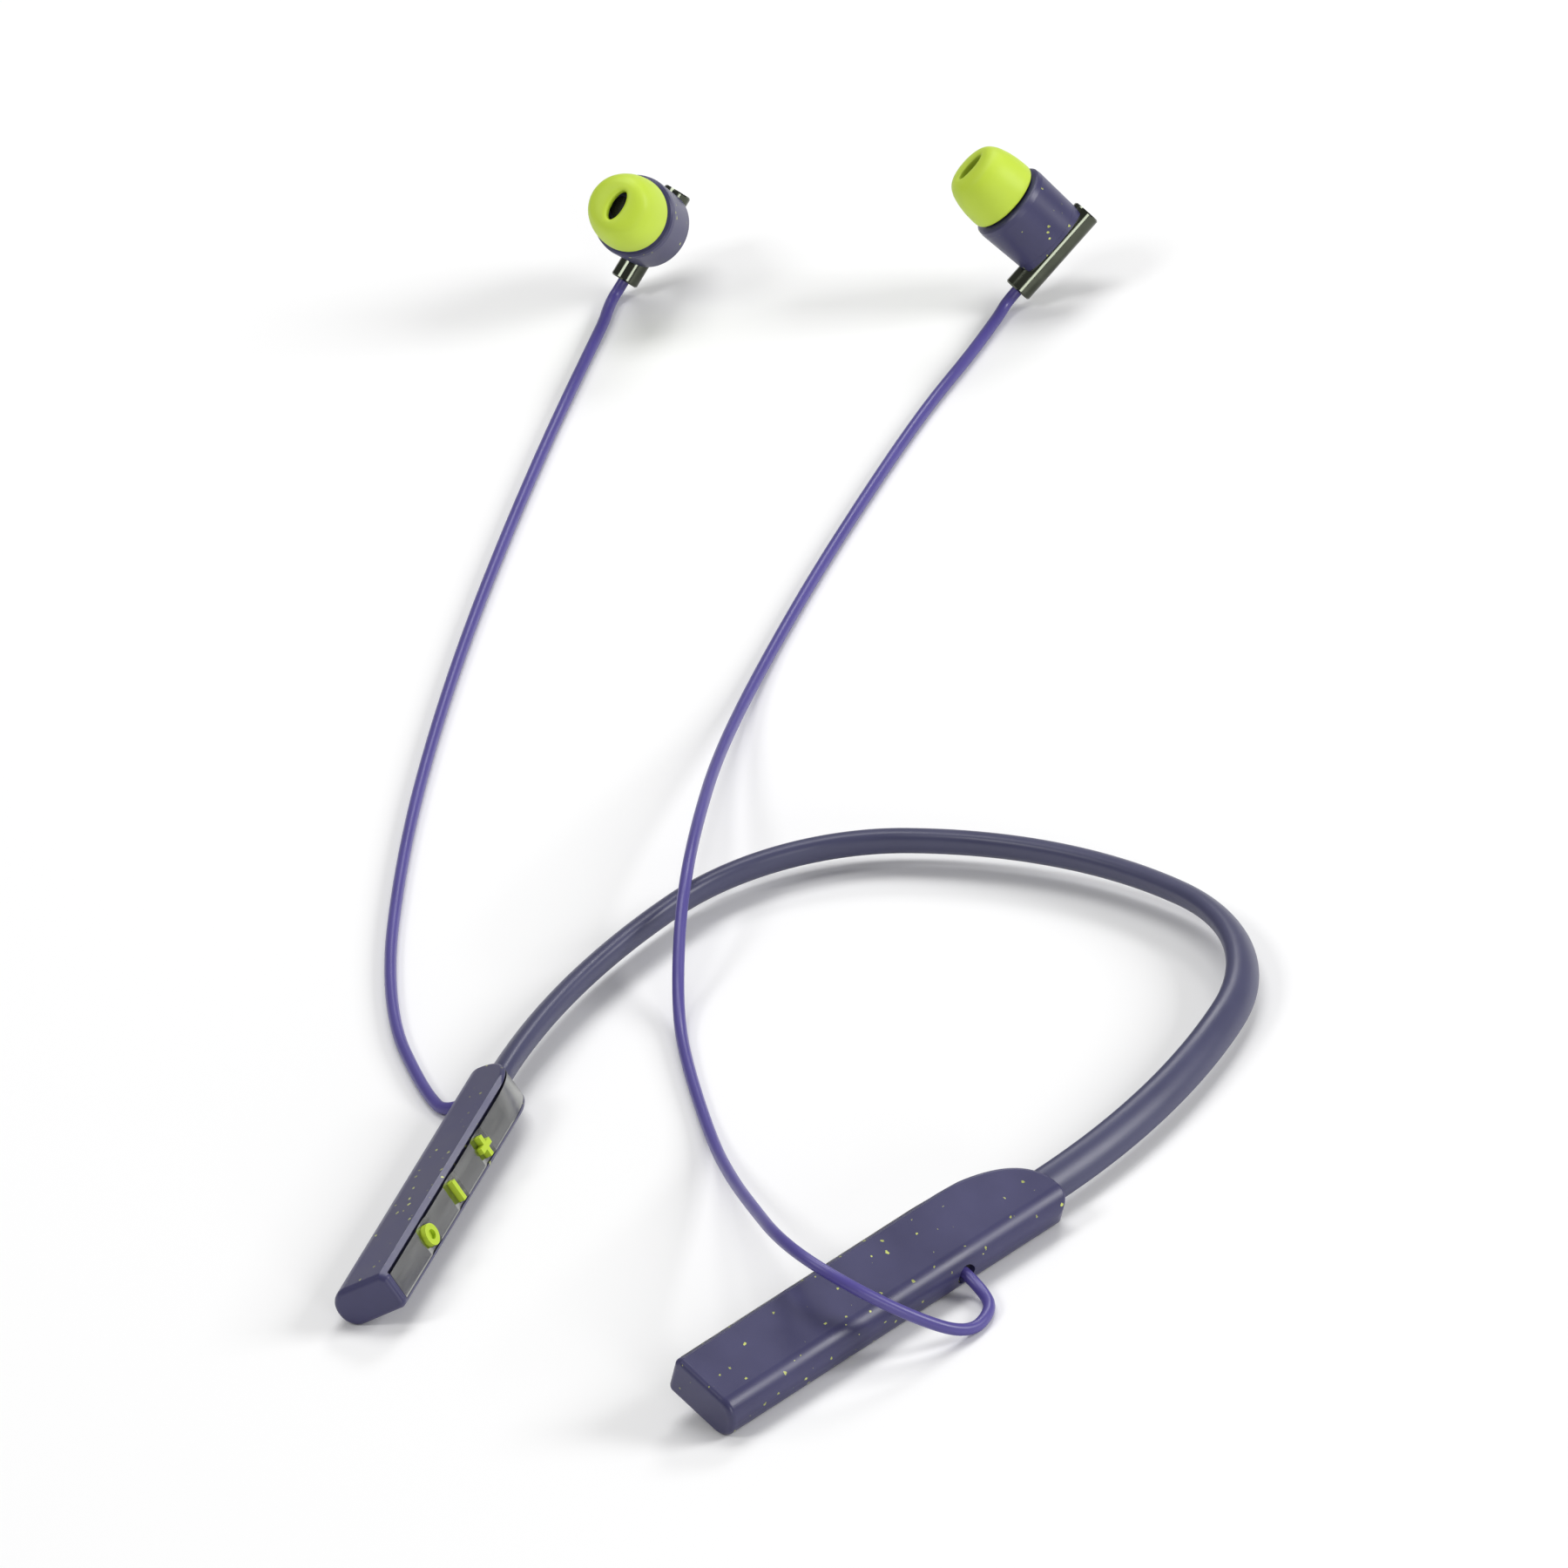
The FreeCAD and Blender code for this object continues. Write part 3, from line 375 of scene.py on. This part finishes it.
def circuit_board():
    """Green solder mask over a faint pattern of copper tracks."""
    surface = Surface("circuit_board_mask", roughness=0.35)
    tracks = surface.tree.nodes.new("ShaderNodeTexBrick")
    tracks.inputs["Scale"].default_value = board_pattern_scale
    tracks.inputs["Mortar Size"].default_value = 0.03
    tracks.inputs["Color1"].default_value = (0.01, 0.09, 0.035, 1)
    tracks.inputs["Color2"].default_value = (0.012, 0.11, 0.045, 1)
    tracks.inputs["Mortar"].default_value = (0.03, 0.17, 0.07, 1)
    surface.link(surface.place, tracks, "Vector")
    surface.colour(tracks.outputs["Color"])
    surface.bump(tracks.outputs["Fac"], board_relief)
    return surface.material


def clear_resin():
    """Partly clear resin of the light pipe."""
    surface = moulded("light_pipe_resin", (0.75, 0.76, 0.78), roughness=0.16, grain=0.005, variation=0.02)
    surface.set("Transmission Weight", 0.6)
    surface.set("IOR", 1.49)
    return surface.material


finishes = {
    "speckled_plastic": speckled_plastic(),
    "band_silicone": moulded("band_silicone_skin", band_colour, roughness=0.38,
                             grain=0.01, variation=0.05).material,
    "cord_jacket": moulded("cord_jacket_satin", cord_colour, roughness=0.36,
                           grain=0.005, variation=0.05).material,
    "cable_jacket": moulded("cable_jacket_grey", (0.05, 0.05, 0.055), roughness=0.5).material,
    "lime_silicone": lime_silicone(),
    "lime_key": moulded("lime_key_plastic", key_lime, roughness=0.38,
                        grain=0.01, variation=0.04).material,
    "gunmetal_panel": machined("gunmetal_panel_finish", gunmetal, roughness=0.2,
                               grain_scale=(900, 60, 900), turn=14, depth=0.001).material,
    "dark_metal_bar": machined("dark_bar_metal", bar_metal, roughness=0.13,
                               grain_scale=(300, 300, 300), depth=0.0002).material,
    "spring_steel": machined("spring_steel_wire", (0.5, 0.5, 0.52), roughness=0.3,
                             grain_scale=(4000, 200, 4000)).material,
    "circuit_board": circuit_board(),
    "shield_steel": machined("shield_steel_sheet", (0.55, 0.55, 0.57), roughness=0.35,
                             grain_scale=(300, 4000, 4000)).material,
    "socket_steel": machined("socket_steel_shell", (0.5, 0.5, 0.51), roughness=0.28,
                             grain_scale=(300, 4000, 4000)).material,
    "cell_foil": machined("battery_foil", (0.62, 0.62, 0.6), roughness=0.42,
                          grain_scale=(500, 500, 500), depth=0.06).material,
    "magnet_plating": machined("magnet_nickel", (0.6, 0.58, 0.52), roughness=0.2,
                               grain_scale=(1500, 1500, 1500)).material,
    "mesh_steel": perforated_steel(),
    "led_resin": moulded("led_resin_body", (0.7, 0.68, 0.5), roughness=0.3).material,
    "clear_pipe": clear_resin(),
    "black_plastic": moulded("black_inner_plastic", (0.02, 0.02, 0.022), roughness=0.5).material,
}


def dress(thing, finish):
    """Gives an object one finish on all its material slots."""
    material = finishes[finish]
    if not thing.material_slots:
        thing.data.materials.append(material)
    for place in thing.material_slots:
        place.material = material


dress(left_cord, "cord_jacket")
dress(right_cord, "cord_jacket")


# ---------------------------------------------------------------- mesh building blocks
def add_mesh(name, points, faces, body, slot, nodes):
    """A new piece from points in metres, which stands for CAD nodes and rides on their body."""
    mesh = bpy.data.meshes.new(name)
    mesh.from_pydata([tuple(point) for point in points], [], faces)
    mesh.validate()
    shape = bmesh.new()
    shape.from_mesh(mesh)
    bmesh.ops.recalc_face_normals(shape, faces=shape.faces)
    shape.to_mesh(mesh)
    shape.free()
    for face in mesh.polygons:
        face.use_smooth = True
    piece = bpy.data.objects.new(name, mesh)
    bpy.context.scene.collection.objects.link(piece)
    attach(piece, body)
    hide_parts(*nodes)
    dress(piece, slot)
    return piece


def ring_faces(rings, around, closed):
    """Quads between neighbouring rings of points; closed joins the last ring to the first."""
    faces = []
    spans = rings if closed else rings - 1
    for ring in range(spans):
        below = ring * around
        above = (ring + 1) % rings * around
        for index in range(around):
            after = (index + 1) % around
            faces.append((below + index, below + after, above + after, above + index))
    return faces


def smooth_line(corners, steps):
    """Catmull-Rom line through (r, z) corners, steps points for each span."""
    line = []
    for index in range(len(corners) - 1):
        before = Vector(corners[max(index - 1, 0)])
        start = Vector(corners[index])
        end = Vector(corners[index + 1])
        after = Vector(corners[min(index + 2, len(corners) - 1)])
        for step in range(steps):
            t = step / steps
            line.append(0.5 * (2 * start + (end - before) * t
                               + (2 * before - 5 * start + 4 * end - after) * t * t
                               + (3 * start - before - 3 * end + after) * t ** 3))
    line.append(Vector(corners[-1]))
    return line


# ---------------------------------------------------------------- neckband
nape_y = 53.9
nape_radius = 90.0
shoulder_radius = 39.2
side_radius = 128.0
nape_turn = 17.0
shoulder_turn = 62.0
toe_in = 13.8
band_height = 4.6
band_width = 6.3
band_thickness = 3.9
band_roll = 49.0
band_entry = 8.0
band_step = 1.0
band_fewest_steps = 4
band_segments = 48


def polar(centre, radius, angle):
    """Point on a circle, angle degrees from +X."""
    turn = math.radians(angle)
    return centre + Vector((math.cos(turn), math.sin(turn))) * radius


def right_half():
    """Centre and outward direction of the band's right half, from the nape to inside the module."""
    nape_centre = Vector((0, nape_y - nape_radius))
    nape_end = 90 - nape_turn
    shoulder_centre = polar(nape_centre, nape_radius - shoulder_radius, nape_end)
    shoulder_end = nape_end - shoulder_turn
    side_centre = polar(shoulder_centre, shoulder_radius - side_radius, shoulder_end)
    places = []
    for centre, radius, first, last in ((nape_centre, nape_radius, 90, nape_end),
                                        (shoulder_centre, shoulder_radius, nape_end, shoulder_end),
                                        (side_centre, side_radius, shoulder_end, -toe_in)):
        steps = max(band_fewest_steps, round((first - last) / band_step))
        for step in range(steps):
            angle = first + (last - first) * step / steps
            places.append((polar(centre, radius, angle), polar(Vector((0, 0)), 1, angle)))
    end = polar(side_centre, side_radius, -toe_in)
    outward = polar(Vector((0, 0)), 1, -toe_in)
    along = Vector((outward.y, -outward.x))
    places.append((end, outward))
    places.append((end + along * band_entry, outward))
    return places


def add_band():
    """Oval silicone ribbon, rolled so that its flat side leans in to the neck."""
    half = right_half()
    other = [(Vector((-p.x, p.y)), Vector((-o.x, o.y))) for p, o in half[1:]]
    places = list(reversed(half)) + other
    roll = math.radians(band_roll)
    points = []
    for centre, outward in places:
        level = Vector((outward.x, outward.y, 0))
        wide = level * math.cos(roll) - Z_AXIS * math.sin(roll)
        thick = level * math.sin(roll) + Z_AXIS * math.cos(roll)
        middle = Vector((centre.x, centre.y, band_height))
        for index in range(band_segments):
            turn = 2 * math.pi * index / band_segments
            sideways = wide * band_width / 2 * math.cos(turn)
            upward = thick * band_thickness / 2 * math.sin(turn)
            points.append((middle + sideways + upward) * MM)
    faces = ring_faces(len(places), band_segments, False)
    last = (len(places) - 1) * band_segments
    faces.append(tuple(reversed(range(band_segments))))
    faces.append(tuple(range(last, last + band_segments)))
    return add_mesh("neckband_ribbon", points, faces, "neckband", "band_silicone", ["band_sleeve"])


add_band()

# ---------------------------------------------------------------- ear tips
bar_below_housing = 3.4
housing_back_diameter = 13.8

# The cord's end in the bar, the bar's azimuth and elevation, and the nozzle's lean round the bar.
bud_poses = {
    "left": (Vector((-176.30, 195.58, 3.00)), 66.5, 40.8, 28.8),
    "right": (Vector((-107.08, 213.40, 3.20)), 58.5, 32.9, -13.8),
}

# Profiles are radii and heights along the nozzle, in the earbud's own frame.
tip_segments = 96
tip_steps = 4
sleeve_steps = 3
mouth_half_length = 2.75
mouth_half_width = 1.25
slot_bottom = 20.08
slot_inner_radius = 2.86
slot_outer_radius = 5.1
slot_falloff = 1.6
tip_profile = [
    (5.75, 13.33), (5.9, 13.10), (6.2, 13.02), (6.48, 13.23), (6.6, 13.78), (6.58, 14.98), (6.44, 16.58),
    (6.14, 18.18), (5.68, 19.68), (5.02, 20.83), (4.26, 21.43), (3.5, 21.64), (3.1, 21.62),
]
mouth_profile = [(2.86, 21.48), (2.75, 21.18), (2.72, 20.58), (2.74, 20.18)]
inner_profile = [
    (2.75, 19.98), (2.75, 14.18), (2.95, 14.06), (3.4, 14.06), (3.5, 14.18), (3.5, 18.68), (3.8, 18.98),
    (4.35, 19.03), (4.88, 18.68), (5.36, 17.38), (5.66, 15.98), (5.75, 14.58),
]


def bud_matrix(side):
    """Earbud's own frame, y along its bar and z along its nozzle, in metres."""
    cord_end, azimuth, elevation, lean = bud_poses[side]
    turn = (Matrix.Rotation(math.radians(azimuth - 90), 4, "Z")
            @ Matrix.Rotation(math.radians(elevation), 4, "X")
            @ Matrix.Rotation(math.radians(lean), 4, "Y"))
    along = turn @ Vector((0, bar_below_housing + housing_back_diameter / 2, 0))
    return Matrix.Translation((cord_end + along) * MM) @ turn


def oval_share(radius, height):
    """How oval a ring is: 1 in the mouth's slot, 0 on the skirt and inside the sleeve."""
    if height < slot_bottom:
        return 0.0
    share = (slot_outer_radius - radius) / (slot_outer_radius - slot_inner_radius)
    return min(1.0, max(0.0, share)) ** slot_falloff


def add_ear_tip(side):
    """Silicone dome with a slot mouth, folded over the sleeve that grips the nozzle."""
    profile = smooth_line(tip_profile, tip_steps)
    profile += smooth_line(mouth_profile, sleeve_steps)
    profile += smooth_line(inner_profile, sleeve_steps)
    place = bud_matrix(side)
    points = []
    for radius, height in profile:
        share = oval_share(radius, height)
        narrow = 1 - share * (1 - mouth_half_width / mouth_half_length)
        for index in range(tip_segments):
            turn = 2 * math.pi * index / tip_segments
            spot = Vector((radius * narrow * math.cos(turn), radius * math.sin(turn), height))
            points.append(place @ (spot * MM))
    faces = ring_faces(len(profile), tip_segments, True)
    node = side + "_ear_tip"
    return add_mesh(node + "_silicone", points, faces, node, "lime_silicone", [node])


for side in ("left", "right"):
    add_ear_tip(side)


# ---------------------------------------------------------------- finishes on the CAD's own pieces
for part in frame["record"]["subparts"]:
    thing = frame["nodes"][part["node"]]
    if not thing.hide_render:
        dress(thing, part["material_slot"])

# ---------------------------------------------------------------- floor, background and light
floor_colour = (0.94, 0.94, 0.94)
floor_roughness = 0.9
floor_half_size = 4000.0
room_light = 0.24

# Name, heading, elevation, distance, width, height and power in watts.
softboxes = [
    ("softbox_overhead", 40.0, 72.0, 3000.0, 1800.0, 1200.0, 32.0),
    ("softbox_front_left", 143.0, 48.0, 3000.0, 900.0, 800.0, 18.0),
    ("softbox_back", 12.0, 40.0, 3000.0, 900.0, 600.0, 16.0),
    ("softbox_right", -64.0, 28.0, 2400.0, 800.0, 900.0, 30.0),
    ("strip_low_right", -125.0, 12.0, 2400.0, 600.0, 700.0, 10.0),
]


def add_floor():
    """Wide matt floor at height 0."""
    size = floor_half_size * MM
    corners = [(-size, -size, 0), (size, -size, 0), (size, size, 0), (-size, size, 0)]
    mesh = bpy.data.meshes.new("floor")
    mesh.from_pydata(corners, [], [(0, 1, 2, 3)])
    floor = bpy.data.objects.new("floor", mesh)
    bpy.context.scene.collection.objects.link(floor)
    material = bpy.data.materials.new("pale_floor")
    material.use_nodes = True
    shader = material.node_tree.nodes["Principled BSDF"]
    shader.inputs["Base Color"].default_value = (*floor_colour, 1)
    shader.inputs["Roughness"].default_value = floor_roughness
    shader.inputs["Specular IOR Level"].default_value = 0.0
    mesh.materials.append(material)


def add_world():
    """Even white light from all round."""
    world = bpy.data.worlds.new("studio")
    world.use_nodes = True
    background = world.node_tree.nodes["Background"]
    background.inputs["Color"].default_value = (1, 1, 1, 1)
    background.inputs["Strength"].default_value = room_light
    bpy.context.scene.world = world


def add_softbox(name, heading, elevation, distance, width, height, power):
    """Rectangular lamp aimed at the middle of the earphones, hidden from the camera itself."""
    aim = direction(heading, elevation)
    data = bpy.data.lights.new(name, "AREA")
    data.shape = "RECTANGLE"
    data.size = width * MM
    data.size_y = height * MM
    data.energy = power
    lamp = bpy.data.objects.new(name, data)
    lamp.visible_camera = False
    lamp.matrix_world = (Matrix.Translation(view_target + aim * distance * MM)
                         @ aim.to_track_quat("Z", "Y").to_matrix().to_4x4())
    bpy.context.scene.collection.objects.link(lamp)


add_floor()
add_world()
for softbox in softboxes:
    add_softbox(*softbox)

# ---------------------------------------------------------------- closing
view_settings = bpy.context.scene.view_settings
view_settings.view_transform = "Standard"
